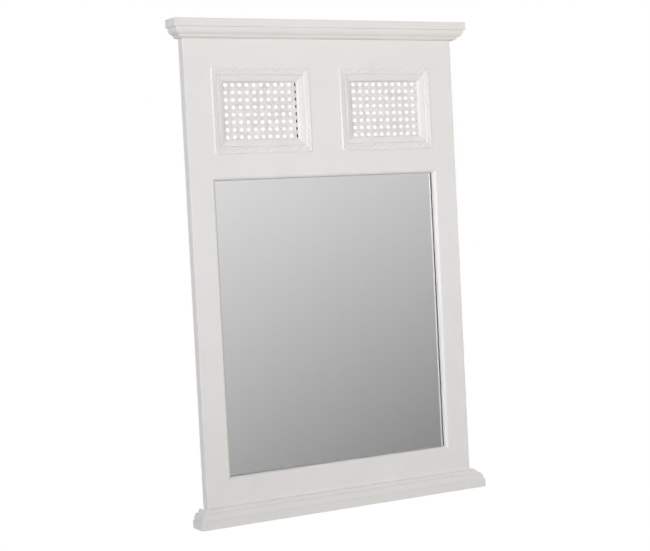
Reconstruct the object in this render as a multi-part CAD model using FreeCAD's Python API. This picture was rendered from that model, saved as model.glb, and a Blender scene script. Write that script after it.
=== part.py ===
import FreeCAD, Part

import math
import os

# White painted wooden wall mirror: a tall mirror under a head board with two carved windows of woven cane,
# between a cornice and a plinth. Lengths are in millimetres. +X is to the right seen from the front, +Z is up
# and the front faces -Y. The back face of the frame is the plane Y = 0. The origin is on that face, half way
# across, at the height of the hanging line, which is also the height of the windows' centres.

# Driving dimensions of the frame
frame_w = 527.0
frame_t = 16.0
stile_w = 47.5
bottom_rail_h = 64.4
mirror_opening_h = 496.0
head_board_h = 253.5
arris_r = 0.8

# Cornice and plinth: boards, and the moulding between board and frame
cap_t = 13.6
cap_out = 21.4
base_t = 14.5
base_out = 20.2
moulding_out = 18.0
ovolo_h = 11.4
ovolo_run = 4.3
ovolo_bulge = 1.2
shelf_run = 3.7
bead_h = 5.8
bead_run = 4.3
bead_bulge = 0.9

# Mirror, rebate and backing
opening_round_r = 6.4
reveal = 9.0
rebate_w = 8.0
glass_t = 3.0
glass_play = 1.0
backing_t = 2.5
point_w = 8.0
point_t = 0.5
point_bite = 5.0
point_reach = 7.0
point_height_shares = (-0.36, 0.0, 0.36)
point_width_shares = (-0.3, 0.3)

# Carved window frames, their cane and its battens
window_gap = 59.3
window_side_margin = 0.75
window_low_margin = 43.5
window_high_margin = 65.6
slip_w = 12.8
slip_drop = 4.6
slip_edge_t = 1.3
slip_bulge = 0.15
nose_w = 2.6
nose_drop = 1.7
nose_bulge = 0.55
torus_w = 11.2
torus_proud = 3.1
flank_w = 3.6
flank_bulge = 0.85
crown_bulge = 0.85
groove_rise = 0.2
neck_w = 3.0
cane_t = 1.5
cane_play = 1.0
cane_pitch_across = 13.6
cane_pitch_up = 12.6
cane_band = 6.1
left_cane_shift = 3.9
right_cane_shift = 0.9
batten_w = 15.0
batten_t = 5.0

# Dowels and plinth screws
dowel_d = 6.0
dowel_l = 40.0
dowel_pitch = 22.0
glue_gap = 0.1
cap_dowel_d = 6.0
cap_dowel_l = 30.0
cap_dowel_in_cap = 9.0
cap_dowel_inset = 22.0
cap_dowel_spacing = 150.0
screw_d = 4.0
screw_l = 45.0
screw_head_d = 8.0
screw_head_h = 2.6
screw_gap = 0.1
screw_inset = 10.0
screw_spacing = 150.0

# Hangers: a folded steel strap, its D-shaped ring and two screws, one on the back of each stile
wire_d = 2.5
ring_w = 22.0
ring_h = 18.0
ring_corner_r = 2.6
hinge_gap = 0.05
strap_t = 1.0
strap_w = 10.0
strap_l = 38.0
strap_corner_r = 2.0
strap_hole_d = 4.0
strap_screw_drops = (10.0, 25.0)
strap_screw_d = 3.4
strap_screw_l = 12.0
strap_screw_head_d = 7.0
strap_screw_head_h = 2.2
strap_screw_head_r = 0.9
cross_w = 1.0
cross_l = 4.0
cross_depth = 1.3
ring_stop_gap = 0.3

# Wall bumpers
bumper_d = 12.0
bumper_t = 5.0
bumper_round_r = 1.5
bumper_h = 45.0

# One overrun for all cutting shapes
overrun = 5.0

# Places that follow from the sizes above
side_x = frame_w / 2
face_y = -frame_t
inner_x = side_x - stile_w
opening_w = 2 * inner_x
window_w = inner_x - window_side_margin - window_gap / 2
window_h = head_board_h - window_low_margin - window_high_margin
window_x = (window_gap + window_w) / 2
sight_w = window_w - 2 * (torus_w + slip_w)
sight_h = window_h - 2 * (torus_w + slip_w)
origin_h = base_t + bottom_rail_h + mirror_opening_h + window_low_margin + window_h / 2
underside_z = -origin_h
base_top_z = underside_z + base_t
opening_low_z = base_top_z + bottom_rail_h
opening_high_z = opening_low_z + mirror_opening_h
cap_low_z = opening_high_z + head_board_h
cap_top_z = cap_low_z + cap_t
opening_mid_z = (opening_low_z + opening_high_z) / 2
moulding_h = ovolo_h + bead_h
glass_front_y = face_y + reveal
glass_back_y = glass_front_y + glass_t
backing_back_y = glass_back_y + backing_t
rebate_x = inner_x + rebate_w
groove_x = sight_w / 2 + slip_w
groove_z = sight_h / 2 + slip_w
cutout_x = groove_x + neck_w
cutout_z = groove_z + neck_w
slip_edge_y = face_y + slip_drop
cane_front_y = slip_edge_y + slip_edge_t
cane_back_y = cane_front_y + cane_t
batten_back_y = cane_back_y + batten_t
mid_y = face_y / 2
stile_mid_x = side_x - stile_w / 2
wire_r = wire_d / 2
ring_span = (ring_w - wire_d) / 2
knuckle_bore_r = wire_r + hinge_gap
knuckle_r = knuckle_bore_r + strap_t
hinge_y = knuckle_r
hinge_z = -(ring_h - wire_r)
strap_stack = 2 * strap_t


def block(x0, x1, y0, y1, z0, z1):
    """Box between two corners."""
    return Part.makeBox(x1 - x0, y1 - y0, z1 - z0, FreeCAD.Vector(x0, y0, z0))


def rod(radius, length, start, direction):
    """Round rod from a start point along a direction."""
    return Part.makeCylinder(radius, length, FreeCAD.Vector(*start), FreeCAD.Vector(*direction))


def outline_face(points, bulges, place):
    """Flat face of an outline: place turns each (across, along) point into a vector, bulges are per edge."""
    edges = []
    count = len(points)
    for i in range(count):
        (a0, b0), (a1, b1) = points[i], points[(i + 1) % count]
        start, end = place(a0, b0), place(a1, b1)
        if bulges[i] == 0:
            edges.append(Part.LineSegment(start, end).toShape())
            continue
        span = math.hypot(a1 - a0, b1 - b0)
        shift = bulges[i] / span
        middle = place((a0 + a1) / 2 + shift * (b1 - b0), (b0 + b1) / 2 - shift * (a1 - a0))
        edges.append(Part.Arc(start, middle, end).toShape())
    return Part.Face(Part.Wire(edges))


def plan_prism(points, z0, z1):
    """Upright prism over an (x, y) outline."""
    face = outline_face(points, [0] * len(points), lambda x, y: FreeCAD.Vector(x, y, z0))
    return face.extrude(FreeCAD.Vector(0, 0, z1 - z0))


def front_prism(points, y0, y1):
    """Prism along Y over an (x, z) outline."""
    face = outline_face(points, [0] * len(points), lambda x, z: FreeCAD.Vector(x, y0, z))
    return face.extrude(FreeCAD.Vector(0, y1 - y0, 0))


def save(name, shape):
    """Write one sub-part and print its volume."""
    shape.exportStep("parts/" + name + ".step")
    print(name, len(shape.Solids), "solid(s)", round(shape.Volume, 1), "valid" if shape.isValid() else "NOT VALID")


def opening_flare():
    """Cutter for the rounded edge round the mirror, mitred at its corners: the opening widened towards the
    face by a quarter round, as the part that an upright and a level prism of that section share."""
    r = opening_round_r
    low_y = face_y - overrun
    high_y = face_y + r

    def section(half):
        points = [(-half, high_y), (-half - r, face_y), (-half - r, low_y), (half + r, low_y), (half + r, face_y)]
        points += [(half, high_y)]
        return points

    bow = r * (1 - math.sqrt(0.5))
    bulges = [-bow, 0, 0, 0, -bow, 0]
    across = outline_face(section(inner_x), bulges, lambda x, y: FreeCAD.Vector(x, y, opening_low_z - 2 * r))
    across = across.extrude(FreeCAD.Vector(0, 0, mirror_opening_h + 4 * r))
    upward = outline_face(section(mirror_opening_h / 2), bulges,
                          lambda z, y: FreeCAD.Vector(-inner_x - 2 * r, y, opening_mid_z + z))
    upward = upward.extrude(FreeCAD.Vector(opening_w + 4 * r, 0, 0))
    return across.common(upward)


def mirror_rebate():
    """Cutter for the rebate at the back that holds the glass and its backing."""
    return block(-rebate_x, rebate_x, glass_front_y, overrun, opening_low_z - rebate_w, opening_high_z + rebate_w)


def backing_points():
    """Flat steel points: driven into the rebate's walls, they lie on the backing board."""
    front, back = backing_back_y, backing_back_y + point_t
    half = point_w / 2
    points = []
    for share in point_height_shares:
        z = opening_mid_z + share * mirror_opening_h
        for side in (-1, 1):
            ends = sorted((side * (rebate_x - point_reach), side * (rebate_x + point_bite)))
            points.append(block(ends[0], ends[1], front, back, z - half, z + half))
    for share in point_width_shares:
        x = share * opening_w
        low, high = opening_low_z - rebate_w, opening_high_z + rebate_w
        points.append(block(x - half, x + half, front, back, low - point_bite, low + point_reach))
        points.append(block(x - half, x + half, front, back, high - point_reach, high + point_bite))
    return points


def side_dowels(gap):
    """Dowels between the stiles and the rail and head board, or their holes with a gap round them: a pair in
    the middle of the rail, and of the head board's bands below and above the windows, clear of the rebate and
    of the cap's dowels."""
    bands = [(base_top_z, opening_low_z - rebate_w), (opening_high_z + rebate_w, -cutout_z)]
    bands.append((cutout_z, cap_low_z + cap_dowel_in_cap - cap_dowel_l))
    heights = [(low + high + way * dowel_pitch) / 2 for low, high in bands for way in (-1, 1)]
    length = dowel_l + 2 * gap
    return [rod(dowel_d / 2 + gap, length, (side * inner_x - length / 2, mid_y, z), (1, 0, 0))
            for side in (-1, 1) for z in heights]


def cap_dowels(gap):
    """Upright dowels that hold the cap on the stiles and the head board, or their holes."""
    places = [side * (side_x - cap_dowel_inset) for side in (-1, 1)]
    places += [side * cap_dowel_spacing / 2 for side in (-1, 1)]
    top = cap_low_z + cap_dowel_in_cap + gap
    length = cap_dowel_l + 2 * gap
    return [rod(cap_dowel_d / 2 + gap, length, (x, mid_y, top - length), (0, 0, 1)) for x in places]


def plinth_screws(gap):
    """Countersunk screws from below the plinth into the stiles and the rail, or their holes."""
    places = [side * (side_x - screw_inset) for side in (-1, 1)]
    places += [side * screw_spacing / 2 for side in (-1, 1)]
    shank_r = screw_d / 2 + gap
    head_r = screw_head_d / 2 + gap
    screws = []
    for x in places:
        foot = FreeCAD.Vector(x, mid_y, underside_z)
        head = Part.makeCone(head_r, shank_r, screw_head_h, foot, FreeCAD.Vector(0, 0, 1))
        shank = rod(shank_r, screw_l + gap, (x, mid_y, underside_z), (0, 0, 1))
        screws.append(head.fuse(shank).removeSplitter())
    return screws


def cross_recess(x, y, z, direction):
    """Cutter for a cross recess, centred on a screw head that faces along Y or Z."""
    long, thin = cross_l / 2, cross_w / 2
    if direction == "Y":
        first = block(x - long, x + long, y - cross_depth, y + overrun, z - thin, z + thin)
        second = block(x - thin, x + thin, y - cross_depth, y + overrun, z - long, z + long)
    else:
        first = block(x - long, x + long, y - thin, y + thin, z - overrun, z + cross_depth)
        second = block(x - thin, x + thin, y - long, y + long, z - overrun, z + cross_depth)
    return first.fuse(second)


def strap_screws(gap):
    """Pan-head screws of both hangers, or their holes in the stiles."""
    screws = []
    for side in (-1, 1):
        for drop in strap_screw_drops:
            x, z = side * stile_mid_x, hinge_z - drop
            shank = rod(strap_screw_d / 2 + gap, strap_screw_l + gap, (x, strap_stack, z), (0, -1, 0))
            if gap > 0:
                screws.append(shank)
                continue
            head = rod(strap_screw_head_d / 2, strap_screw_head_h, (x, strap_stack, z), (0, 1, 0))
            rim = [e for e in head.Edges if e.BoundBox.YMin > strap_stack + strap_screw_head_h / 2]
            head = head.makeFillet(strap_screw_head_r, rim)
            screw = head.fuse(shank).removeSplitter()
            screws.append(screw.cut(cross_recess(x, strap_stack + strap_screw_head_h, z, "Y")))
    return screws


def stile(side, cutters):
    """Upright of the frame, from the plinth board to the cap."""
    ends = sorted((side * inner_x, side * side_x))
    shape = block(ends[0], ends[1], face_y, 0, base_top_z, cap_low_z)
    arris = [e for e in shape.Edges if abs(e.BoundBox.Center.x - side * side_x) < arris_r
             and e.BoundBox.YMax < mid_y and e.BoundBox.ZLength > stile_w]
    return shape.makeFillet(arris_r, arris).cut(Part.makeCompound(cutters))


def head_board(cutters):
    """Board above the mirror with its two window cut-outs."""
    shape = block(-inner_x, inner_x, face_y, 0, opening_high_z, cap_low_z)
    for x in (-window_x, window_x):
        shape = shape.cut(block(x - cutout_x, x + cutout_x, face_y - overrun, overrun, -cutout_z, cutout_z))
    return shape.cut(Part.makeCompound(cutters))


def bottom_rail(cutters):
    """Rail below the mirror, on the plinth board."""
    shape = block(-inner_x, inner_x, face_y, 0, base_top_z, opening_low_z)
    return shape.cut(Part.makeCompound(cutters))


def edge_board(out, low_z, thickness):
    """Cap or plinth board: wider than the frame and further forward, flush at the back, edges eased."""
    x = side_x + out
    shape = block(-x, x, face_y - out, 0, low_z, low_z + thickness)
    eased = [e for e in shape.Edges if e.BoundBox.YMin < -arris_r]
    return shape.makeFillet(arris_r, eased)


def moulding_section():
    """Section of the cornice and plinth moulding as (outward, away from its board) points, with one bulge
    for each edge: an ovolo, a narrow shelf and a rounded bead, and a flat back."""
    foot = moulding_out - ovolo_run
    shelf = foot - shelf_run
    toe = shelf - bead_run
    points = [(0, 0), (moulding_out, 0), (foot, ovolo_h), (shelf, ovolo_h), (toe, moulding_h), (0, moulding_h)]
    return points, [0, ovolo_bulge, 0, bead_bulge, 0, 0]


def mouldings(board_z, way):
    """Front length and two returns of a moulding that starts at board_z and runs up (1) or down (-1),
    mitred together on the frame's front corners."""
    reach = moulding_out + overrun
    low, high = sorted((board_z, board_z + way * moulding_h))
    low, high = low - overrun, high + overrun
    far_y = face_y - reach
    points, bulges = moulding_section()
    face = outline_face(points, bulges, lambda a, b: FreeCAD.Vector(-side_x - reach, face_y - a, board_z + way * b))
    front = face.extrude(FreeCAD.Vector(frame_w + 2 * reach, 0, 0))
    plan = [(-side_x, face_y), (side_x, face_y), (side_x + reach, far_y), (-side_x - reach, far_y)]
    pieces = {"front": front.common(plan_prism(plan, low, high))}
    for side, name in ((-1, "left"), (1, "right")):
        face = outline_face(points, bulges, lambda a, b: FreeCAD.Vector(side * (side_x + a), far_y, board_z + way * b))
        plan = [(side * side_x, 0), (side * (side_x + reach), 0), (side * (side_x + reach), far_y)]
        plan += [(side * side_x, face_y)]
        run = face.extrude(FreeCAD.Vector(0, -far_y, 0))
        pieces[name] = run.common(plan_prism(plan, low, high))
    return pieces


def window_moulding(centre_x, side):
    """One mitred length of a carved window frame: a low torus on the face, with a steep flank outside and a
    crown that falls gently inward, and a slip with a rounded nose that slopes back to the cane."""
    section = [(0, face_y - groove_rise), (torus_w - flank_w, face_y - torus_proud), (torus_w, face_y)]
    section += [(neck_w, face_y), (neck_w, cane_front_y), (-slip_w, cane_front_y), (-slip_w, slip_edge_y)]
    section += [(nose_w - slip_w, face_y + nose_drop)]
    bulges = [crown_bulge, flank_bulge, 0, 0, 0, 0, nose_bulge, slip_bulge]
    near = slip_w + overrun
    far = torus_w + overrun
    near_x, near_z, far_x, far_z = groove_x - near, groove_z - near, groove_x + far, groove_z + far
    if side in ("top", "bottom"):
        s = 1 if side == "top" else -1
        face = outline_face(section, bulges, lambda w, y: FreeCAD.Vector(-far_x, y, s * (groove_z + w)))
        run = face.extrude(FreeCAD.Vector(2 * far_x, 0, 0))
        wedge = [(-near_x, s * near_z), (near_x, s * near_z), (far_x, s * far_z), (-far_x, s * far_z)]
    else:
        s = 1 if side == "right" else -1
        face = outline_face(section, bulges, lambda w, y: FreeCAD.Vector(s * (groove_x + w), y, -far_z))
        run = face.extrude(FreeCAD.Vector(0, 0, 2 * far_z))
        wedge = [(s * near_x, -near_z), (s * near_x, near_z), (s * far_x, far_z), (s * far_x, -far_z)]
    shape = run.common(front_prism(wedge, face_y - torus_proud - overrun, 0))
    shape.translate(FreeCAD.Vector(centre_x, 0, 0))
    return shape


def cane_panel(side):
    """Woven cane as a flat sheet with its eight-sided holes, as many as the sight opening takes. Between two
    holes lies one band of cane, and the holes lie a little to the left of the window's middle."""
    centre_x = side * window_x
    lattice_x = centre_x - (left_cane_shift if side < 0 else right_cane_shift)
    half_x, half_z = cutout_x - cane_play, cutout_z - cane_play
    rim = [(centre_x - half_x, -half_z), (centre_x + half_x, -half_z), (centre_x + half_x, half_z)]
    rim += [(centre_x - half_x, half_z)]
    columns = int((sight_w + cane_band) / cane_pitch_across)
    rows = int((sight_h + cane_band) / cane_pitch_up)
    reach_x = (cane_pitch_across - cane_band) / 2 / math.cos(math.pi / 8)
    reach_z = (cane_pitch_up - cane_band) / 2 / math.cos(math.pi / 8)
    wires = [Part.makePolygon([FreeCAD.Vector(x, cane_front_y, z) for x, z in rim + rim[:1]])]
    for column in range(columns):
        for row in range(rows):
            x = lattice_x + (column - (columns - 1) / 2) * cane_pitch_across
            z = (row - (rows - 1) / 2) * cane_pitch_up
            corners = []
            for k in range(9):
                angle = math.pi / 8 + k * math.pi / 4
                corners.append(FreeCAD.Vector(x + reach_x * math.cos(angle), cane_front_y,
                                              z + reach_z * math.sin(angle)))
            wires.append(Part.makePolygon(corners))
    return Part.makeFace(wires, "Part::FaceMakerBullseye").extrude(FreeCAD.Vector(0, cane_t, 0))


def window_battens(centre_x):
    """Four strips that hold the cane against the moulding from behind."""
    inner_half_z = cutout_z - batten_w
    left, right = centre_x - cutout_x, centre_x + cutout_x
    return {
        "top": block(left, right, cane_back_y, batten_back_y, inner_half_z, cutout_z),
        "bottom": block(left, right, cane_back_y, batten_back_y, -cutout_z, -inner_half_z),
        "left": block(left, left + batten_w, cane_back_y, batten_back_y, -inner_half_z, inner_half_z),
        "right": block(right - batten_w, right, cane_back_y, batten_back_y, -inner_half_z, inner_half_z),
    }


def sheet_in_rebate(front_y, thickness):
    """Glass or backing board, with its play all round in the rebate."""
    x = rebate_x - glass_play
    grow = rebate_w - glass_play
    return block(-x, x, front_y, front_y + thickness, opening_low_z - grow, opening_high_z + grow)


def hanger_strap(side):
    """Steel strap folded round the ring's bar and doubled, with two screw holes."""
    x = side * stile_mid_x
    left, right = x - strap_w / 2, x + strap_w / 2
    tail = block(left, right, 0, strap_stack, hinge_z - strap_l, hinge_z)
    corners = [e for e in tail.Edges if e.BoundBox.ZMax < hinge_z - strap_l / 2 and e.BoundBox.YLength > strap_t]
    tail = tail.makeFillet(strap_corner_r, corners)
    knuckle = rod(knuckle_r, strap_w, (left, hinge_y, hinge_z), (1, 0, 0))
    bore = rod(knuckle_bore_r, strap_w + 2 * overrun, (left - overrun, hinge_y, hinge_z), (1, 0, 0))
    shape = tail.fuse(knuckle).removeSplitter().cut(bore)
    for drop in strap_screw_drops:
        shape = shape.cut(rod(strap_hole_d / 2, strap_stack + 2 * overrun, (x, -overrun, hinge_z - drop), (0, 1, 0)))
    return shape


def hanger_ring(side):
    """D-shaped wire ring, raised as it is when the mirror hangs from it."""
    x, y, z = side * stile_mid_x, hinge_y, hinge_z
    s, c = ring_span, ring_corner_r
    bow_z = z + ring_h - s
    turn = c * (1 - math.sqrt(0.5))

    def at(dx, dz):
        return FreeCAD.Vector(x + dx, y, dz)

    path = [
        Part.LineSegment(at(0, z), at(s - c, z)).toShape(),
        Part.Arc(at(s - c, z), at(s - turn, z + turn), at(s, z + c)).toShape(),
        Part.LineSegment(at(s, z + c), at(s, bow_z)).toShape(),
        Part.Arc(at(s, bow_z), at(0, bow_z + s), at(-s, bow_z)).toShape(),
        Part.LineSegment(at(-s, bow_z), at(-s, z + c)).toShape(),
        Part.Arc(at(-s, z + c), at(turn - s, z + turn), at(c - s, z)).toShape(),
        Part.LineSegment(at(c - s, z), at(0, z)).toShape(),
    ]
    circle = Part.makeCircle(wire_r, at(0, z), FreeCAD.Vector(1, 0, 0))
    return Part.Wire(path).makePipeShell([Part.Wire([circle])], True, True)


def wall_bumper(side):
    """Soft round pad at the foot of a stile's back, which keeps the mirror parallel to the wall."""
    pad = rod(bumper_d / 2, bumper_t, (side * stile_mid_x, 0, underside_z + bumper_h), (0, 1, 0))
    rim = [e for e in pad.Edges if e.BoundBox.YMin > bumper_t / 2]
    return pad.makeFillet(bumper_round_r, rim)


def main():
    """Make every sub-part and write it to parts/."""
    os.makedirs("parts", exist_ok=True)

    frame_cutters = [opening_flare(), mirror_rebate()] + backing_points() + side_dowels(glue_gap)
    frame_cutters += cap_dowels(glue_gap) + plinth_screws(screw_gap) + strap_screws(screw_gap)
    save("left_stile", stile(-1, frame_cutters))
    save("right_stile", stile(1, frame_cutters))
    save("head_board", head_board(frame_cutters))
    save("bottom_rail", bottom_rail(frame_cutters))
    save("frame_dowels", Part.makeCompound(side_dowels(0)))

    cap = edge_board(cap_out, cap_low_z, cap_t).cut(Part.makeCompound(cap_dowels(glue_gap)))
    save("cornice_cap", cap)
    save("cornice_dowels", Part.makeCompound(cap_dowels(0)))
    cornice = mouldings(cap_low_z, -1)
    save("cornice_moulding_front", cornice["front"])
    save("cornice_return_left", cornice["left"])
    save("cornice_return_right", cornice["right"])

    base = edge_board(base_out, underside_z, base_t).cut(Part.makeCompound(plinth_screws(screw_gap)))
    save("plinth_base", base)
    heads = [s.cut(cross_recess(s.BoundBox.Center.x, mid_y, underside_z, "Z")) for s in plinth_screws(0)]
    save("plinth_screws", Part.makeCompound(heads))
    plinth = mouldings(base_top_z, 1)
    save("plinth_moulding_front", plinth["front"])
    save("plinth_return_left", plinth["left"])
    save("plinth_return_right", plinth["right"])

    for side, name in ((-1, "left"), (1, "right")):
        centre_x = side * window_x
        for edge in ("top", "bottom", "left", "right"):
            save(name + "_window_moulding_" + edge, window_moulding(centre_x, edge))
        for edge, batten in window_battens(centre_x).items():
            save(name + "_window_batten_" + edge, batten)
        save(name + "_cane_panel", cane_panel(side))

    save("mirror_glass", sheet_in_rebate(glass_front_y, glass_t))
    save("backing_board", sheet_in_rebate(glass_back_y, backing_t))
    save("backing_points", Part.makeCompound(backing_points()))

    for side, name in ((-1, "left"), (1, "right")):
        save(name + "_hanger_strap", hanger_strap(side))
        save(name + "_hanger_ring", hanger_ring(side))
        save(name + "_wall_bumper", wall_bumper(side))
    save("hanger_screws", Part.makeCompound(strap_screws(0)))

    stop = math.degrees(math.asin((strap_stack + wire_r + ring_stop_gap - hinge_y) / ring_h))
    lean = math.degrees(math.asin((hinge_y - wire_r - ring_stop_gap) / ring_h))
    print("overall height", cap_top_z - underside_z, "hinge at", round(hinge_y, 3), round(hinge_z, 3))
    print("ring turns from", round(-lean, 1), "to", round(180 - stop, 1), "degrees")


main()
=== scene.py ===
"""White painted wall mirror: its looks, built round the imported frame.

Blender works in metres, in the frame's own axes: +X is to the right seen from the front, +Z is up, the front
faces -Y and the back face is the plane Y = 0. Sizes in the classes below are in millimetres, apart from the
studio's, which are in metres.
"""

import logging
import math
from collections.abc import Callable, Iterable, Sequence
from dataclasses import dataclass
from enum import Enum

import bpy
import numpy as np
from mathutils import Matrix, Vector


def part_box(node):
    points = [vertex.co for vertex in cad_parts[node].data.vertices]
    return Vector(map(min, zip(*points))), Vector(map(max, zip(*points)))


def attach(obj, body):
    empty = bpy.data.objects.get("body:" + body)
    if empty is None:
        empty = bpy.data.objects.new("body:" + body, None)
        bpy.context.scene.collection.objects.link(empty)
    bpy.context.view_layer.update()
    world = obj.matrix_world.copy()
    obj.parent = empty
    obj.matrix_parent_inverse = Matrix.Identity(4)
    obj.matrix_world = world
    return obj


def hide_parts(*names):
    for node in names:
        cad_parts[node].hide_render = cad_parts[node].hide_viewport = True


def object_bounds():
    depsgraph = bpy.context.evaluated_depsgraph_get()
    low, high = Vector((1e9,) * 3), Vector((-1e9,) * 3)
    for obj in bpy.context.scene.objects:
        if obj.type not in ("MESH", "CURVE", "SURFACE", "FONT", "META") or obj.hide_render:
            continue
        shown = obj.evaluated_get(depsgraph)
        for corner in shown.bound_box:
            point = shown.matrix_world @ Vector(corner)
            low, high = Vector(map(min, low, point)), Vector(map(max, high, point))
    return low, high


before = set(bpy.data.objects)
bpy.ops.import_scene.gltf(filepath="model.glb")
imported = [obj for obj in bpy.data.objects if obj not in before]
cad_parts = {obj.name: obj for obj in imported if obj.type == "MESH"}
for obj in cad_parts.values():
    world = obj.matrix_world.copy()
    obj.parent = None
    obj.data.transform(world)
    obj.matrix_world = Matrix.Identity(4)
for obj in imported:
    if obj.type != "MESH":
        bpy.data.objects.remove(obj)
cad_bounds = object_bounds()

Material, Tree = bpy.types.Material, bpy.types.NodeTree
Node, Socket = bpy.types.Node, bpy.types.NodeSocket
Colour = tuple[float, float, float, float]
Triple = tuple[float, float, float]
Inputs = dict[str | int, float | tuple | Socket | Node]

LOG = logging.getLogger("mirror")
MM = 0.001
FRAME_BODY = "frame"
FRONT = (0.0, -1.0, 0.0)
WHITE = (1.0, 1.0, 1.0, 1.0)
# A fold sharper than this between two faces stays a crisp arris, and a gentler one is smoothed.
CRISP_ARRIS = math.radians(38.0)
# The inputs of a node that mixes two colours, by number because their names repeat.
SHARE, FIRST, SECOND = 0, 6, 7
# Nearly all of a noise's values lie between these two.
NOISE_LOW, NOISE_HIGH = 0.3, 0.7
# A wave texture is a sine of 20 times its scaled coordinate, in which one wave is this long.
WAVE_REPEAT = math.pi / 10


class Side(Enum):
    """Which window, seen from the front."""

    LEFT = "left"
    RIGHT = "right"


class Edge(Enum):
    """One of the four lengths round a window, with its direction from the window's middle."""

    TOP = (0.0, 0.0, 1.0)
    BOTTOM = (0.0, 0.0, -1.0)
    LEFT = (-1.0, 0.0, 0.0)
    RIGHT = (1.0, 0.0, 0.0)


class Board(Enum):
    """Which board a moulding lies against: the cap above it, or the plinth board below it."""

    CORNICE = 1
    PLINTH = -1


class Lay(Enum):
    """Which way a board's grain, and so the painter's brush, runs: along X or along Z."""

    LEVEL = 0
    UPRIGHT = 2

    def scales(self, across: float, along: float) -> tuple[float, ...]:
        """Mapping scales of a pattern with one size in millimetres across the lay and another along it."""
        return tuple(per_metre(along if axis == self.value else across) for axis in range(3))


# ---- Small helpers ----


def linear(hex_colour: str) -> Colour:
    """Turn an sRGB hex colour into a linear colour.

    Args:
        hex_colour: six hex digits with a leading hash sign.

    Returns:
        Red, green, blue and an alpha of 1.
    """
    srgb = np.array([int(hex_colour[i:i + 2], 16) for i in (1, 3, 5)]) / 255.0
    light = np.where(srgb <= 0.04045, srgb / 12.92, ((srgb + 0.055) / 1.055) ** 2.4)
    return (*light.tolist(), 1.0)


def per_metre(size_mm: float) -> float:
    """How many repeats of a size in millimetres fit in a metre, which is a texture's scale."""
    return 1.0 / (size_mm * MM)


def box_mm(node: str) -> tuple[np.ndarray, np.ndarray]:
    """Lowest and highest corner of a CAD node, in millimetres."""
    low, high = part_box(node)
    return np.array(low) / MM, np.array(high) / MM


def add_node(tree: Tree, kind: str, inputs: Inputs | None = None, **settings: str) -> Node:
    """Add one node with its settings and links.

    Args:
        tree: the node tree that gets the node.
        kind: the node's type.
        inputs: for an input's name or number, its value or what feeds it: an output, or a node's first one
            in use.
        **settings: the node's own properties.

    Returns:
        The new node.
    """
    node = tree.nodes.new(kind)
    for key, value in settings.items():
        setattr(node, key, value)
    for key, value in (inputs or {}).items():
        if isinstance(value, Node):
            value = next(output for output in value.outputs if output.enabled)
        if isinstance(value, Socket):
            tree.links.new(value, node.inputs[key])
        else:
            node.inputs[key].default_value = value
    return node


def new_material(name: str) -> tuple[Material, Tree]:
    """Start a material that has no nodes yet.

    Args:
        name: the material's name.

    Returns:
        The material and its node tree.
    """
    material = bpy.data.materials.new(name)
    material.use_nodes = True
    material.node_tree.nodes.clear()
    return material, material.node_tree


def dress(piece: bpy.types.Object, material: Material) -> None:
    """Give a whole piece or CAD node one material.

    Args:
        piece: the piece or the node's object.
        material: its finish.
    """
    if not piece.material_slots:
        piece.data.materials.append(material)
    for slot in piece.material_slots:
        slot.material = material
    LOG.info("%s: %s", piece.name, material.name)


def dress_nodes(names: Iterable[str], material: Material) -> None:
    """Give one material to CAD nodes that keep their own shape."""
    for name in names:
        dress(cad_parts[name], material)


def add_object(name: str, data: bpy.types.ID) -> bpy.types.Object:
    """Put a mesh, lamp or camera in the scene.

    Args:
        name: the object's name.
        data: what it shows.

    Returns:
        The new object, at the origin.
    """
    made = bpy.data.objects.new(name, data)
    bpy.context.scene.collection.objects.link(made)
    return made


def set_up(thing: bpy.types.Object, right: Sequence[float], up: Sequence[float], back: Sequence[float],
           place: Sequence[float]) -> None:
    """Turn a lamp or camera, which looks the opposite way to its back, and put it in its place.

    Args:
        thing: the lamp or camera.
        right: the direction of its own X axis.
        up: the direction of its own Y axis.
        back: the direction of its own Z axis.
        place: where it goes, in metres.
    """
    rows = np.stack([right, up, back, place], axis=1).tolist()
    thing.matrix_world = Matrix([*rows, [0.0, 0.0, 0.0, 1.0]])


# ---- Shapes: grids of points worked out as whole arrays ----


def tube_faces(tubes: int, stations: int, around: int, first: int) -> tuple[np.ndarray, np.ndarray]:
    """Faces of closed tubes whose points are numbered by tube, then station, then place round the section.

    The wall between two stations is one ring of quads, each joining a point and its neighbour round the
    section to the same two points of the next station. The first and last ring are each closed by one cap.

    Args:
        tubes: how many tubes there are.
        stations: how many rings each tube has.
        around: how many points each ring has.
        first: number of the first tube's first point.

    Returns:
        The quads (n, 4) and the caps (2 * tubes, around).
    """
    index = first + np.arange(tubes * stations * around).reshape(tubes, stations, around)
    beside = np.roll(index, -1, axis=2)
    quads = np.stack([index[:, :-1], beside[:, :-1], beside[:, 1:], index[:, 1:]], axis=-1).reshape(-1, 4)
    caps = np.concatenate([index[:, 0, ::-1], index[:, -1]])
    return quads, caps


def enclosed_volume(points: np.ndarray, polygons: np.ndarray) -> float:
    """Share of a closed mesh's volume that some of its faces enclose with the origin.

    Each polygon is a fan of triangles, and each triangle with the origin is a tetrahedron whose signed volume
    is a sixth of the triple product of its corners. The sum over all faces is positive when they face
    outwards.

    Args:
        points: the mesh's points (n, 3).
        polygons: faces that all have the same number of corners (m, k).

    Returns:
        The signed volume.
    """
    corners = points[polygons]
    first = np.repeat(corners[:, :1], polygons.shape[1] - 2, axis=1)
    return float(np.einsum("mki,mki->", first, np.cross(corners[:, 1:-1], corners[:, 2:])) / 6.0)


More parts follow.
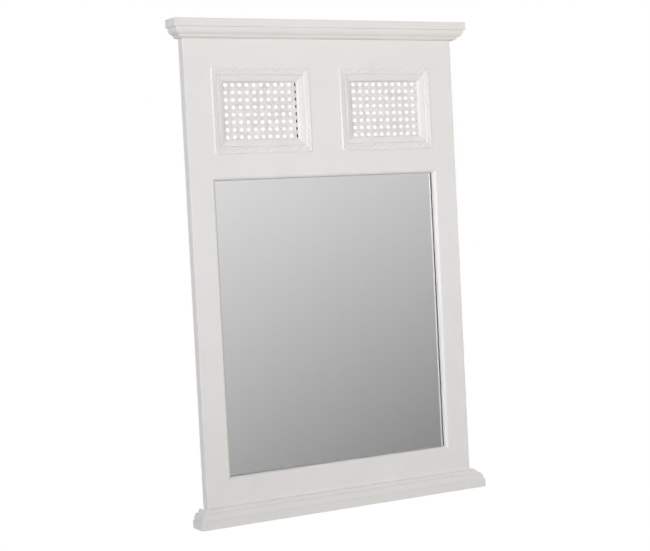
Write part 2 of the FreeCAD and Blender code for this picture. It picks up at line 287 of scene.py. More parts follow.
def new_piece(name: str, families: Sequence[np.ndarray], node: str, material: Material) -> None:
    """Make one piece out of closed tubes, in place of a CAD node, and turn its faces outwards.

    Args:
        name: the piece's name.
        families: for each family of tubes its points in millimetres (tube, station, section, 3).
        node: the CAD node that it stands for.
        material: its finish.
    """
    points = np.concatenate([family.reshape(-1, 3) for family in families])
    faces, first = [], 0
    for family in families:
        faces.append(tube_faces(*family.shape[:3], first))
        first += family[..., 0].size
    quads, caps = (np.concatenate(kind) for kind in zip(*faces))
    centred = points - points.mean(axis=0)
    if enclosed_volume(centred, quads) + enclosed_volume(centred, caps) < 0:
        quads, caps = quads[:, ::-1], caps[:, ::-1]
    mesh = bpy.data.meshes.new(name)
    mesh.from_pydata((points * MM).tolist(), [], quads.tolist() + caps.tolist())
    mesh.polygons.foreach_set("use_smooth", np.ones(len(mesh.polygons), bool))
    mesh.set_sharp_from_angle(angle=CRISP_ARRIS)
    mesh.update()
    piece = add_object(name, mesh)
    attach(piece, FRAME_BODY)
    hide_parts(node)
    LOG.info("%s: %d faces, for %s", name, len(mesh.polygons), node)
    dress(piece, material)


@dataclass(frozen=True)
class Run:
    """Line that a length of moulding follows, with its own three directions. Its high end is always mitred.

    Attributes:
        origin: a point of the line, in millimetres.
        along: the line's direction.
        outward: the section's first direction.
        rise: the section's second direction.
        low, high: where the line starts and ends, measured along it from the origin.
        low_mitre: 1 for a low end cut at 45 degrees that gets longer outward, 0 for a square one.
    """

    origin: Sequence[float]
    along: Sequence[float]
    outward: Sequence[float]
    rise: Sequence[float]
    low: float
    high: float
    low_mitre: float = 1.0

    def stations(self, out: np.ndarray, shares: np.ndarray, rounding: np.ndarray) -> np.ndarray:
        """Place along the line of every point of a grid.

        A point that lies further out starts earlier and ends later by that same distance at a mitred end,
        less what a rounded corner of that radius takes off, which is its radius times 1 - cos 45 degrees.

        Args:
            out: how far outward each point of the grid lies (stations, section).
            shares: share of the length that each station has reached.
            rounding: radius of the corner at each point of the section.

        Returns:
            The places, in millimetres (stations, section).
        """
        reach = out - rounding * (1.0 - math.sqrt(0.5))
        first = self.low - self.low_mitre * reach
        return first + shares[:, None] * (self.high + reach - first)

    def points(self, place: np.ndarray, out: np.ndarray, up: np.ndarray) -> np.ndarray:
        """Points in space: the origin, plus each distance times its own direction."""
        axes = np.array([self.along, self.outward, self.rise], float)
        return np.array(self.origin) + np.stack([place, out, up], axis=-1) @ axes


def arc(start: Sequence[float], end: Sequence[float], bulge: float, count: int) -> np.ndarray:
    """Points of a circular arc over a chord.

    The radius follows from half the chord c and the bulge b, which is less than c, as (c * c + b * b) / 2b.
    The arc turns evenly from one end of the chord to the other about its centre, and its bulge is to the
    right of the way it runs.

    Args:
        start: first point.
        end: last point.
        bulge: how far the arc's middle stands from the chord.
        count: how many points the arc has, the last one left out.

    Returns:
        The points (count, 2).
    """
    a, b = np.array(start), np.array(end)
    half = np.linalg.norm(b - a) / 2
    chord = (b - a) / (2 * half)
    side = np.array([chord[1], -chord[0]])
    radius = (half * half + bulge * bulge) / (2 * bulge)
    centre = (a + b) / 2 + side * (bulge - radius)
    sweep = math.asin(half / radius)
    turn = np.linspace(-sweep, sweep, count, endpoint=False)[:, None]
    return centre + radius * (np.sin(turn) * chord + np.cos(turn) * side)


# ---- Finishes ----


@dataclass(frozen=True)
class Look:
    """What a finish gives its shader.

    Attributes:
        share: how much of the second tone there is at each place, from 0 to 1.
        first, second: the two tones.
        inputs: the shader's other inputs.
        relief: how far each place stands proud, from 0 to 1, or nothing where the finish is smooth.
        depth: the relief's depth, in millimetres.
    """

    share: Node
    first: str
    second: str
    inputs: Inputs
    relief: Node | None = None
    depth: float = 0.0


@dataclass(frozen=True)
class Finish:
    """One Principled shader of two tones. Each kind of finish draws its patterns on Object coordinates."""

    name: str

    def look(self, tree: Tree, place: Socket) -> Look:
        """Add the nodes of the finish's own patterns.

        Args:
            tree: the material's nodes.
            place: Object coordinates.

        Returns:
            The finish's look.
        """
        raise NotImplementedError

    def build(self) -> Material:
        """Make the material.

        Returns:
            The material.
        """
        material, tree = new_material(self.name)
        look = self.look(tree, add_node(tree, "ShaderNodeTexCoord").outputs["Object"])
        tone = add_node(tree, "ShaderNodeMix", {
            SHARE: look.share, FIRST: linear(look.first), SECOND: linear(look.second)}, data_type="RGBA")
        inputs = {"Base Color": tone, **look.inputs}
        if look.relief is not None:
            inputs["Normal"] = add_node(tree, "ShaderNodeBump", {
                "Height": look.relief, "Distance": look.depth * MM})
        shader = add_node(tree, "ShaderNodeBsdfPrincipled", inputs)
        add_node(tree, "ShaderNodeOutputMaterial", {"Surface": shader})
        return material


@dataclass(frozen=True)
class SatinPaint(Finish):
    """Water-based satin paint, brushed twice over sanded wood.

    The eye sees an even off-white with a soft sheen, a slightly cloudy tone where the coats differ, and fine
    brush lines along each board that only show where the light grazes it.
    """

    lay: Lay
    light_coat: str = "#F1F0EE"
    thin_coat: str = "#EFEEEB"
    cloud_size: float = 70.0
    cloud_detail: float = 3.0
    thin_from: float = 0.35
    thin_to: float = 0.65
    brush_line: float = 0.9
    brush_stroke: float = 70.0
    bristle_play: float = 0.6
    line_depth: float = 0.035
    roughness: float = 0.44
    roughness_play: float = 0.06
    ior: float = 1.48

    def look(self, tree: Tree, place: Socket) -> Look:
        """Two coats that a cloudy noise mixes, the sheen with them, and brush lines drawn out along the lay.

        Args:
            tree: the material's nodes.
            place: Object coordinates.

        Returns:
            The finish's look.
        """
        cloud = add_node(tree, "ShaderNodeTexNoise", {
            "Vector": place, "Scale": per_metre(self.cloud_size), "Detail": self.cloud_detail})
        tone = add_node(tree, "ShaderNodeMapRange", {
            "Value": cloud, "From Min": self.thin_from, "From Max": self.thin_to})
        sheen = add_node(tree, "ShaderNodeMapRange", {
            "Value": cloud, "From Min": NOISE_LOW, "From Max": NOISE_HIGH,
            "To Min": self.roughness + self.roughness_play, "To Max": self.roughness - self.roughness_play})
        brushed = add_node(tree, "ShaderNodeMapping", {
            "Vector": place, "Scale": self.lay.scales(self.brush_line, self.brush_stroke)})
        lines = add_node(tree, "ShaderNodeTexNoise", {
            "Vector": brushed, "Scale": 1.0, "Roughness": self.bristle_play})
        return Look(tone, self.thin_coat, self.light_coat, {"Roughness": sheen, "IOR": self.ior},
                    lines, self.line_depth)


@dataclass(frozen=True)
class PaintedCane(Finish):
    """Split rattan, woven and then sprayed white.

    The thin coat leaves the cane's fine lengthwise fibres and its nodes showing as a slightly warmer, duller
    white than the wood's.
    """

    name: str = "white_sprayed_cane"
    coat: str = "#EEEDEB"
    fibre: str = "#E2E0DB"
    mottle_size: float = 7.0
    mottle_detail: float = 3.0
    fibre_from: float = 0.35
    fibre_to: float = 0.62
    fibre_size: float = 0.5
    fibre_depth: float = 0.03
    roughness: float = 0.52
    ior: float = 1.48

    def look(self, tree: Tree, place: Socket) -> Look:
        """Bare fibre and coat that a mottled noise mixes, with a fine relief.

        Args:
            tree: the material's nodes.
            place: Object coordinates.

        Returns:
            The finish's look.
        """
        mottle = add_node(tree, "ShaderNodeTexNoise", {
            "Vector": place, "Scale": per_metre(self.mottle_size), "Detail": self.mottle_detail})
        tone = add_node(tree, "ShaderNodeMapRange", {
            "Value": mottle, "From Min": self.fibre_from, "From Max": self.fibre_to})
        fibres = add_node(tree, "ShaderNodeTexNoise", {"Vector": place, "Scale": per_metre(self.fibre_size)})
        return Look(tone, self.fibre, self.coat, {"Roughness": self.roughness, "IOR": self.ior},
                    fibres, self.fibre_depth)


@dataclass(frozen=True)
class SilverLayer(Finish):
    """Silver on the back of a float glass mirror: a near perfect reflection with a trace of cloudiness."""

    name: str = "mirror_silver"
    silver: str = "#F4F4F4"
    clouded: str = "#F1F1F1"
    cloud_size: float = 130.0

    def look(self, tree: Tree, place: Socket) -> Look:
        """Two all but equal silvers that a wide noise mixes."""
        cloud = add_node(tree, "ShaderNodeTexNoise", {"Vector": place, "Scale": per_metre(self.cloud_size)})
        return Look(cloud, self.clouded, self.silver, {"Metallic": 1.0, "Roughness": 0.0})


@dataclass(frozen=True)
class FloatGlass(Finish):
    """Clear float glass with seamed edges: no colour to look through, a trace of green in its depth."""

    name: str = "clear_float_glass"
    clear: str = "#FFFFFF"
    green: str = "#FEFFFE"
    wave_size: float = 160.0
    ior: float = 1.52

    def look(self, tree: Tree, place: Socket) -> Look:
        """Greenish and clear glass that a wide noise mixes."""
        wave = add_node(tree, "ShaderNodeTexNoise", {"Vector": place, "Scale": per_metre(self.wave_size)})
        return Look(wave, self.green, self.clear,
                    {"Roughness": 0.0, "Transmission Weight": 1.0, "IOR": self.ior})


@dataclass(frozen=True)
class Hardboard(Finish):
    """Pressed wood fibre, rough side out: brown, flecked, and printed with the mesh of the press's screen."""

    name: str = "brown_hardboard"
    brown: str = "#8B6A45"
    dark: str = "#765738"
    fleck_size: float = 1.6
    fleck_detail: float = 4.0
    fleck_sharpness: float = 0.7
    patch_size: float = 40.0
    brown_from: float = 0.12
    brown_to: float = 0.4
    screen_pitch: float = 1.3
    screen_depth: float = 0.12
    roughness: float = 0.82

    def look(self, tree: Tree, place: Socket) -> Look:
        """Two browns that flecks and patches mix, and the screen's relief: one wave across times one up.

        Args:
            tree: the material's nodes.
            place: Object coordinates.

        Returns:
            The finish's look.
        """
        fleck = add_node(tree, "ShaderNodeTexNoise", {
            "Vector": place, "Scale": per_metre(self.fleck_size), "Detail": self.fleck_detail,
            "Roughness": self.fleck_sharpness})
        patch = add_node(tree, "ShaderNodeTexNoise", {"Vector": place, "Scale": per_metre(self.patch_size)})
        both = add_node(tree, "ShaderNodeMath", {0: fleck, 1: patch}, operation="MULTIPLY")
        tone = add_node(tree, "ShaderNodeMapRange", {
            "Value": both, "From Min": self.brown_from, "From Max": self.brown_to})
        wave = {"Vector": place, "Scale": per_metre(self.screen_pitch) * WAVE_REPEAT}
        across, up = (add_node(tree, "ShaderNodeTexWave", wave, bands_direction=way).outputs["Fac"]
                      for way in ("X", "Z"))
        screen = add_node(tree, "ShaderNodeMath", {0: across, 1: up}, operation="MULTIPLY")
        return Look(tone, self.dark, self.brown, {"Roughness": self.roughness}, screen, self.screen_depth)


@dataclass(frozen=True)
class ZincPlate(Finish):
    """Bright zinc-plated mild steel: a cool grey metal, satin from the plating bath and a little uneven."""

    name: str = "zinc_plated_steel"
    bright: str = "#C9CCCF"
    dull: str = "#B4B6B6"
    bloom_size: float = 5.0
    bloom_detail: float = 4.0
    grit_size: float = 0.35
    grit_depth: float = 0.01
    roughness: float = 0.3
    roughness_play: float = 0.08

    def look(self, tree: Tree, place: Socket) -> Look:
        """Dull and bright metal that a noise mixes, the polish with them, and a fine grit.

        Args:
            tree: the material's nodes.
            place: Object coordinates.

        Returns:
            The finish's look.
        """
        bloom = add_node(tree, "ShaderNodeTexNoise", {
            "Vector": place, "Scale": per_metre(self.bloom_size), "Detail": self.bloom_detail})
        polish = add_node(tree, "ShaderNodeMapRange", {
            "Value": bloom, "From Min": NOISE_LOW, "From Max": NOISE_HIGH,
            "To Min": self.roughness + self.roughness_play, "To Max": self.roughness - self.roughness_play})
        grit = add_node(tree, "ShaderNodeTexNoise", {"Vector": place, "Scale": per_metre(self.grit_size)})
        return Look(bloom, self.dull, self.bright, {"Roughness": polish, "Metallic": 1.0},
                    grit, self.grit_depth)


@dataclass(frozen=True)
class PlanedWood(Finish):
    """Planed wood, bare or stained: pale early wood, darker late wood lines along the piece, fine pores."""

    early: str
    late: str
    lay: Lay
    ring_width: float = 3.2
    wander: float = 55.0
    ring_waver: float = 0.6
    late_from: float = 0.4
    late_to: float = 0.62
    pore_size: float = 0.4
    pore_length: float = 9.0
    pore_depth: float = 0.04
    roughness: float = 0.62

    def look(self, tree: Tree, place: Socket) -> Look:
        """Early and late wood that a noise drawn out along the lay mixes, and pores drawn out the same way.

        Args:
            tree: the material's nodes.
            place: Object coordinates.

        Returns:
            The finish's look.
        """
        along, fine = (add_node(tree, "ShaderNodeMapping", {"Vector": place, "Scale": self.lay.scales(*sizes)})
                       for sizes in ((self.ring_width, self.wander), (self.pore_size, self.pore_length)))
        rings = add_node(tree, "ShaderNodeTexNoise", {
            "Vector": along, "Scale": 1.0, "Distortion": self.ring_waver})
        tone = add_node(tree, "ShaderNodeMapRange", {
            "Value": rings, "From Min": self.late_from, "From Max": self.late_to})
        pores = add_node(tree, "ShaderNodeTexNoise", {"Vector": fine, "Scale": 1.0})
        return Look(tone, self.early, self.late, {"Roughness": self.roughness}, pores, self.pore_depth)


@dataclass(frozen=True)
class PressedFelt(Finish):
    """Dense grey wool felt: matt, flecked, with a soft fuzz that lightens it at grazing angles."""

    name: str = "grey_felt"
    light: str = "#9A9996"
    dark: str = "#767573"
    fleck_size: float = 0.7
    fleck_detail: float = 4.0
    fleck_sharpness: float = 0.8
    fuzz_depth: float = 0.15
    roughness: float = 0.95
    sheen: float = 0.4

    def look(self, tree: Tree, place: Socket) -> Look:
        """Two greys that flecks mix, the fuzz's relief with them."""
        fleck = add_node(tree, "ShaderNodeTexNoise", {
            "Vector": place, "Scale": per_metre(self.fleck_size), "Detail": self.fleck_detail,
            "Roughness": self.fleck_sharpness})
        return Look(fleck, self.dark, self.light, {"Roughness": self.roughness, "Sheen Weight": self.sheen},
                    fleck, self.fuzz_depth)


# ---- Sub-assemblies ----


@dataclass
class FrameBoards:
    """The flat painted boards, which keep their CAD solids: stiles, head board, rail, cap and plinth board."""

    upright: tuple[str, ...] = ("left_stile", "right_stile")
    level: tuple[str, ...] = ("head_board", "bottom_rail", "cornice_cap", "plinth_base")

    def finish(self, upright_paint: Material, level_paint: Material) -> None:
        """Paint each board with brush lines along it."""
        dress_nodes(self.upright, upright_paint)
        dress_nodes(self.level, level_paint)


@dataclass
class EdgeMoulding:
    """Moulding between the frame and its cap or plinth board: a front length and two returns, mitred.

    Its section starts at the board with an ovolo, which steps back by a narrow shelf to a rounded bead.
    """

    board: Board
    out: float = 18.0
    ovolo_height: float = 11.4
    ovolo_run: float = 4.3
    ovolo_bulge: float = 1.2
    shelf: float = 3.7
    bead_height: float = 5.8
    bead_run: float = 4.3
    bead_bulge: float = 0.9
    ease: float = 0.35
    curve_points: int = 14
    station_count: int = 3

    def section(self) -> np.ndarray:
        """Outline of two arcs joined by short eased corners.

        Returns:
            The points, outward and away from the board (n, 2).
        """
        foot = self.out - self.ovolo_run
        ledge = foot - self.shelf
        toe = ledge - self.bead_run
        height = self.ovolo_height + self.bead_height
        return np.concatenate([
            [(0.0, 0.0)],
            arc((self.out, 0.0), (foot, self.ovolo_height - self.ease), self.ovolo_bulge, self.curve_points),
            [(foot, self.ovolo_height - self.ease), (foot - self.ease, self.ovolo_height)],
            arc((ledge, self.ovolo_height), (toe, height), self.bead_bulge, self.curve_points),
            [(toe, height), (0.0, height)],
        ])

    def build(self, paint: Material) -> None:
        """Make the three lengths and paint them.

        Args:
            paint: the material for all three.
        """
        part = self.board.name.lower()
        low, high = box_mm(f"{part}_moulding_front")
        board_z = high[2] if self.board is Board.CORNICE else low[2]
        away = (0, 0, -self.board.value)
        side_x, face_y = high[0] - self.out, low[1] + self.out
        section = self.section()
        shares = np.linspace(0.0, 1.0, self.station_count)
        out, up = (np.broadcast_to(column, (self.station_count, len(section))) for column in section.T)
        crisp = np.zeros(len(section))
        runs = {
            "moulding_front": Run((0, face_y, board_z), (1, 0, 0), FRONT, away, -side_x, side_x),
            "return_left": Run((-side_x, 0, board_z), FRONT, (-1, 0, 0), away, 0.0, -face_y, low_mitre=0.0),
            "return_right": Run((side_x, 0, board_z), FRONT, (1, 0, 0), away, 0.0, -face_y, low_mitre=0.0),
        }
        for length, run in runs.items():
            points = run.points(run.stations(out, shares, crisp), out, up)
            node = f"{part}_{length}"
            new_piece(f"painted_{node}", [points[None]], node, paint)


@dataclass
class WindowFrame:
    """Carved frame round one window: four mitred lengths with a rope-carved torus and a sloping slip.

    The torus is low and lopsided: a steep flank on the outside, slightly undercut at its foot, and a crown
    that falls gently inward. It is cut with slanting flutes as a rope is. The slip slopes from the torus's
    inner foot towards the cane and ends in a rounded nose.
    """

    side: Side
    torus_width: float = 11.2
    torus_proud: float = 3.1
    flank_width: float = 3.6
    flank_bulge: float = 0.85
    crown_bulge: float = 0.85
    undercut: float = 1.0
    groove_rise: float = 0.2
    quirk_width: float = 2.1
    quirk_depth: float = 1.9
    slip_width: float = 12.8
    slip_drop: float = 4.6
    slip_bulge: float = 0.15
    slip_back: float = 5.9
    nose_width: float = 2.6
    nose_drop: float = 1.7
    nose_bulge: float = 0.55
    neck: float = 3.0
    rope_repeat: float = 20.5
    rope_slant: float = 16.0
    rope_depth: float = 2.2
    rope_half_depth: float = 1.7
    foot_fade: float = 0.8
    corner_share: float = 0.4
    flank_points: int = 9
    crown_points: int = 18
    slip_points: int = 4
    nose_points: int = 7
    station_pitch: float = 1.0

    def carve(self, place: np.ndarray, share: np.ndarray) -> np.ndarray:
        """How far the flutes lower the torus, fading out at its two feet.

        A flute's phase is (place + slant * share) / repeat, in half turns. The torus is lowered by a main depth
        where the sine of that phase is nil and by a lesser depth half way between.

        Args:
            place: place of each point along the torus, in millimetres.
            share: share of the way across it.

        Returns:
            The depths, in millimetres.
        """
        phase = math.pi * (place + self.rope_slant * share) / self.rope_repeat
        main = self.rope_depth * (1.0 - np.abs(np.sin(phase)))
        lesser = self.rope_half_depth * (1.0 - np.abs(np.cos(phase)))
        return (main + lesser) * np.sin(math.pi * share) ** self.foot_fade

    def length(self, run: Run) -> np.ndarray:
        """Points of one carved length.

        Its section runs inward over the torus's flank and crown, a narrow quirk, the slip and its nose, then
        back along the cane and the neck to the undercut foot of the flank. Outer corners are rounded in
        proportion to how far out they lie: within a corner's radius r of the end, a point moves in by
        r - sqrt(r * r - (r - d) ** 2), where d is its distance from the corner.

        Args:
            run: the line that it follows.

        Returns:
            The points (stations, section, 3).
        """
        crest = (self.torus_width - self.flank_width, self.torus_proud)
        groove = (0.0, self.groove_rise)
        quirk = (-self.quirk_width / 2, self.groove_rise - self.quirk_depth)
        start = (-self.quirk_width, self.groove_rise)
        nose = (self.nose_width - self.slip_width, -self.nose_drop)
        sight = (-self.slip_width, -self.slip_drop)
        section = np.concatenate([
            arc((self.torus_width, self.undercut), crest, self.flank_bulge, self.flank_points),
            arc(crest, groove, self.crown_bulge, self.crown_points),
            [groove, quirk],
            arc(start, nose, self.slip_bulge, self.slip_points),
            arc(nose, sight, self.nose_bulge, self.nose_points),
            [sight, (-self.slip_width, -self.slip_back), (self.neck, -self.slip_back), (self.neck, 0.0)],
            [(self.torus_width - self.undercut, 0.0)],
        ])
        torus = self.flank_points + self.crown_points
        count = int((run.high - run.low + 2 * self.torus_width) / self.station_pitch)
        out = np.broadcast_to(section[:, 0], (count, len(section)))
        rounding = self.corner_share * np.maximum(section[:, 0], 0.0)
        place = run.stations(out, np.linspace(0.0, 1.0, count), rounding)
        cut = np.zeros(out.shape)
        share = np.clip(1.0 - section[:torus, 0] / self.torus_width, 0.0, 1.0)
        cut[:, :torus] = self.carve(place[:, :torus], share)
        gap = np.minimum(run.high + out - place, place - run.low + out)
        near = np.clip(rounding - gap, 0.0, None)
        inward = rounding - np.sqrt(np.maximum(rounding ** 2 - near ** 2, 0.0))
        return run.points(place, out - inward, section[:, 1] - cut)

    def build(self, upright_paint: Material, level_paint: Material) -> None:
        """Make and paint the four lengths, each in place of its CAD node.

        Args:
            upright_paint: paint with upright brush lines, for the two sides.
            level_paint: paint with level brush lines, for the top and the bottom.
        """
        prefix = self.side.value
        low, _ = box_mm(f"{prefix}_window_moulding_left")
        _, high = box_mm(f"{prefix}_window_moulding_right")
        centre = (low + high) / 2
        centre[1] = high[1] - self.slip_back
        groove = (high - low) / 2 - self.torus_width
        for edge in Edge:
            outward = np.array(edge.value)
            along = np.cross(outward, FRONT)
            reach = float(np.abs(along) @ groove)
            run = Run(centre + outward * groove, along, outward, FRONT, -reach, reach)
            name = edge.name.lower()
            new_piece(f"{prefix}_carved_{name}", [self.length(run)[None]],
                      f"{prefix}_window_moulding_{name}",
                      level_paint if edge in (Edge.TOP, Edge.BOTTOM) else upright_paint)


@dataclass
class CaneWebbing:
    """Open cane webbing of one window, woven in six ways.

    Upright and level strands lie in pairs, one pair between two rows of holes. Each pair's two strands wave
    about the cloth's middle as a sine of their own length, in opposite ways, so that at a crossing each one
    passes over one strand and under the other. Two sets of diagonals cut the corners of the holes: they cross
    the upright pairs half way between two level ones, one set in front and the other behind, and change over
    at the level pairs. Places in the weave are (x, z), from the middle of its lattice of holes.
    """

    side: Side
    pitch: tuple[float, float] = (13.45, 12.5)
    # Where the lattice's middle lies from the panel's own, because the panels are cut from a longer web.
    left_shift: tuple[float, float] = (-3.94, 0.09)
    right_shift: tuple[float, float] = (-0.85, -0.2)
    pair_offset: float = 1.62
    pair_half_width: float = 1.4
    diagonal_half_width: float = 1.15
    half_thickness: float = 0.17
    pair_wave: float = 0.27
    diagonal_wave: float = 0.4
    changeover: float = 2.6
    steps_per_pitch: int = 10
    # A diagonal that would be shorter than this share of the pitch across is left out.
    shortest: float = 0.35
    # Section of a split cane strand, front first: a low crown, thin edges and a flat back.
    crown: tuple[tuple[float, float], ...] = ((-1.0, 0.1), (-0.6, -0.8), (0.0, -1.0), (0.6, -0.8), (1.0, 0.1),
                                              (0.75, 1.0), (-0.75, 1.0))

    def strands(self, start: np.ndarray, end: np.ndarray, lift: Callable[[np.ndarray], np.ndarray], steps: int,
                half_width: float) -> np.ndarray:
        """Points of one family of straight strands.

        A strand's centre line runs evenly from start to end. Each point of the section is set off from it
        across the strand, square to its direction, and through the cloth, where the lift is added.

        Args:
            start: first (x, z) of each centre line.
            end: last (x, z) of each centre line.
            lift: gives how far behind the cloth's middle the strands lie, from their (strand, step, 2) places.
            steps: how many stations each strand has.
            half_width: half a strand's width.

        Returns:
            The points (strand, step, section, 3).
        """
        shares = np.linspace(0.0, 1.0, steps)[None, :, None]
        centre = start[:, None] + shares * (end - start)[:, None]
        way = (end - start) / np.linalg.norm(end - start, axis=1, keepdims=True)
        across = np.stack([-way[:, 1], way[:, 0]], axis=1)[:, None, None]
        section = np.array(self.crown)
        flat = centre[:, :, None] + across * section[:, :1] * half_width
        depth = lift(centre)[:, :, None] + section[:, 1] * self.half_thickness
        return np.stack([flat[..., 0], depth, flat[..., 1]], axis=-1)

    def pairs(self, way: int, axis: int, low: np.ndarray, high: np.ndarray) -> np.ndarray:
        """One strand of every upright pair, or of every level pair.

        Args:
            way: -1 for the lower or left strand of each pair, 1 for the other one.
            axis: 0 for the upright pairs, which stand at places across, or 1 for the level ones.
            low: lowest (x, z) of the panel.
            high: its highest (x, z).

        Returns:
            The points of the family.
        """
        along, pitch = 1 - axis, self.pitch[axis]
        edge = self.pair_offset + self.pair_half_width
        rows = np.arange(math.ceil((low[axis] + edge) / pitch), math.floor((high[axis] - edge) / pitch) + 1)
        ends = np.empty((2, len(rows), 2))
        ends[..., axis] = rows * pitch + way * self.pair_offset
        ends[..., along] = np.array([low, high])[:, None, along]
        steps = int((high[along] - low[along]) / self.pitch[along] * self.steps_per_pitch)

        def lift(at: np.ndarray) -> np.ndarray:
            """A sine of the place along the strand, which a level strand starts the other way."""
            swing = way * (axis - along) * self.pair_wave
            return swing * np.sin(2 * math.pi * at[..., along] / self.pitch[along])

        return self.strands(*ends, lift, steps, self.pair_half_width)

    def diagonals(self, way: int, low: np.ndarray, high: np.ndarray) -> np.ndarray:
        """One set of diagonals, cut off at the panel's edges.

        In units of the two pitches, a diagonal is z = way * x + k + a half for a whole number k. Its lift is a
        cosine of its place across, flattened by a hyperbolic tangent so that it changes over quickly.

        Args:
            way: 1 where the strands rise to the right, -1 where they fall.
            low: lowest (x, z) of the panel.
            high: its highest (x, z).

        Returns:
            The points of the family.
        """
        low, high = low / self.pitch, high / self.pitch
        span = int((high - low).sum()) + 2
        offset = np.arange(-span, span) + 0.5
        ends = np.sort(np.stack([way * (low[1] - offset), way * (high[1] - offset)], axis=1), axis=1)
        first, last = np.maximum(ends[:, 0], low[0]), np.minimum(ends[:, 1], high[0])
        long_enough = last - first > self.shortest
        first, last, offset = first[long_enough], last[long_enough], offset[long_enough]
        start, end = (np.stack([x, way * x + offset], axis=1) * self.pitch for x in (first, last))

        def lift(at: np.ndarray) -> np.ndarray:
            """Front of the upright pairs and behind the level ones for one set, the other way for the other."""
            wave = np.tanh(self.changeover * np.cos(2 * math.pi * at[..., 0] / self.pitch[0]))
            return -way * self.diagonal_wave * wave / math.tanh(self.changeover)

        steps = int((last - first).max() * self.steps_per_pitch)
        return self.strands(start, end, lift, steps, self.diagonal_half_width)

    def build(self, cane: Material) -> None:
        """Weave the panel in place of its CAD node.

        Args:
            cane: the strands' material.
        """
        node = f"{self.side.value}_cane_panel"
        low, high = box_mm(node)
        shift = np.array(self.left_shift if self.side is Side.LEFT else self.right_shift)
        middle = (low + high) / 2 + [shift[0], 0.0, shift[1]]
        half = (high - low)[[0, 2]] / 2
        panel = -half - shift, half - shift
        families = []
        for way in (-1, 1):
            families += [self.pairs(way, 0, *panel), self.pairs(way, 1, *panel), self.diagonals(way, *panel)]
        new_piece(f"{self.side.value}_woven_cane", [family + middle for family in families], node,
                  cane)


@dataclass
class MirrorPlate:
    """Float glass with its silver: the glass with seamed edges, and the silver just inside its back."""

    seam: float = 0.5
    silver_depth: float = 0.08
    silver_margin: float = 0.6
    silver_seam: float = 0.02

    def slab(self, low: np.ndarray, high: np.ndarray, seam: float) -> np.ndarray:
        """Four rings of four corners, from front to back, the first and last drawn in by the seam.

        Args:
            low: lowest corner.
            high: highest corner.
            seam: width of the bevel on every edge.

        Returns:
            The points of the one tube (1, 4, 4, 3).
        """
        inset = np.array([seam, 0.0, 0.0, seam])[:, None]
        depth = np.array([low[1], low[1] + seam, high[1] - seam, high[1]])[:, None]
        centre, half = (low + high) / 2, (high - low) / 2
        x = centre[0] + np.array([-1, 1, 1, -1]) * (half[0] - inset)
        z = centre[2] + np.array([-1, -1, 1, 1]) * (half[2] - inset)
        return np.stack([x, np.broadcast_to(depth, x.shape), z], axis=-1)[None]

    def build(self, glass: Material, silver: Material) -> None:
        """Make the plate in place of its CAD node.

        Args:
            glass: the glass's material.
            silver: the silver's material.
        """
        low, high = box_mm("mirror_glass")
        new_piece("glass_pane", [self.slab(low, high, self.seam)], "mirror_glass", glass)
        margin = np.array([self.silver_margin, 0.0, self.silver_margin])
        back_low = low + margin
        back_low[1] = high[1] - self.silver_depth
        new_piece("silver_layer", [self.slab(back_low, high - margin, self.silver_seam)],
                  "mirror_glass", silver)


@dataclass
class BackFittings:
    """What shows from behind: the backing, its points, the cane's battens, hangers and bumpers, as in CAD."""

    backing: tuple[str, ...] = ("backing_board",)
    steel: tuple[str, ...] = ("backing_points", "hanger_screws", "plinth_screws", "left_hanger_strap",
                              "right_hanger_strap", "left_hanger_ring", "right_hanger_ring")
    felt: tuple[str, ...] = ("left_wall_bumper", "right_wall_bumper")
    dowels: tuple[str, ...] = ("frame_dowels", "cornice_dowels")
    # Early and late wood of the beech dowels and of the dark stained pine battens. The battens' dark tone is
    # partly painted shade: it darkens the cane holes at the windows' edges, through which the battens show.
    beech: tuple[str, str] = ("#D8B48C", "#C89B6E")
    stain_and_shade_pine: tuple[str, str] = ("#3B2A1D", "#2A1D13")

    def finish(self) -> None:
        """Give every fitting its own finish, and each batten grain along it."""
        dress_nodes(self.backing, Hardboard().build())
        dress_nodes(self.steel, ZincPlate().build())
        dress_nodes(self.felt, PressedFelt().build())
        dress_nodes(self.dowels, PlanedWood("beech_dowel", *self.beech, Lay.LEVEL).build())
        for lay, edges in (Lay.LEVEL, (Edge.TOP, Edge.BOTTOM)), (Lay.UPRIGHT, (Edge.LEFT, Edge.RIGHT)):
            # Dark stain that is partly painted shade, seen through the cane holes beside each window's edge.
            pine = PlanedWood(f"{lay.name.lower()}_stained_pine", *self.stain_and_shade_pine, lay).build()
            dress_nodes((f"{side.value}_window_batten_{edge.name.lower()}" for side in Side for edge in edges),
                        pine)


# ---- Studio: camera, lights, background and floor ----


@dataclass(frozen=True)
class Softbox:
    """One large soft lamp, aimed at a point of the object. Its power is in watts, its spread in degrees."""

    name: str
    place: Triple
    target: Triple
    width: float
    height: float
    power: float
    colour: str
    spread: float = 180.0

    def build(self) -> None:
        """Hang the lamp so that its width is level."""
        data = bpy.data.lights.new(self.name, "AREA")
        data.shape = "RECTANGLE"
        data.size, data.size_y, data.energy = self.width, self.height, self.power
        data.spread = math.radians(self.spread)
        data.color = linear(self.colour)[:3]
        back = np.subtract(self.place, self.target)
        back /= np.linalg.norm(back)
        right = np.cross((0.0, 0.0, 1.0), back)
        right /= np.linalg.norm(right)
        set_up(add_object(self.name, data), right, np.cross(back, right), back, self.place)


@dataclass(frozen=True)
class PhotoCamera:
    """Camera at the photograph's place. The lens and the sensor's width are in millimetres."""

    place: Triple = (-1.30305, -2.33018, -0.17014)
    right: Triple = (0.872043, -0.486798, -0.050691)
    down: Triple = (-0.065558, -0.013541, -0.997757)
    forward: Triple = (0.485019, 0.87341, -0.043722)
    lens: float = 84.88
    sensor: float = 36.0

    def build(self) -> None:
        """Set up the camera."""
        data = bpy.data.cameras.new("photo_camera")
        data.lens, data.sensor_width = self.lens, self.sensor
        camera = add_object("photo_camera", data)
        set_up(camera, self.right, np.negative(self.down), np.negative(self.forward), self.place)
        bpy.context.scene.camera = camera


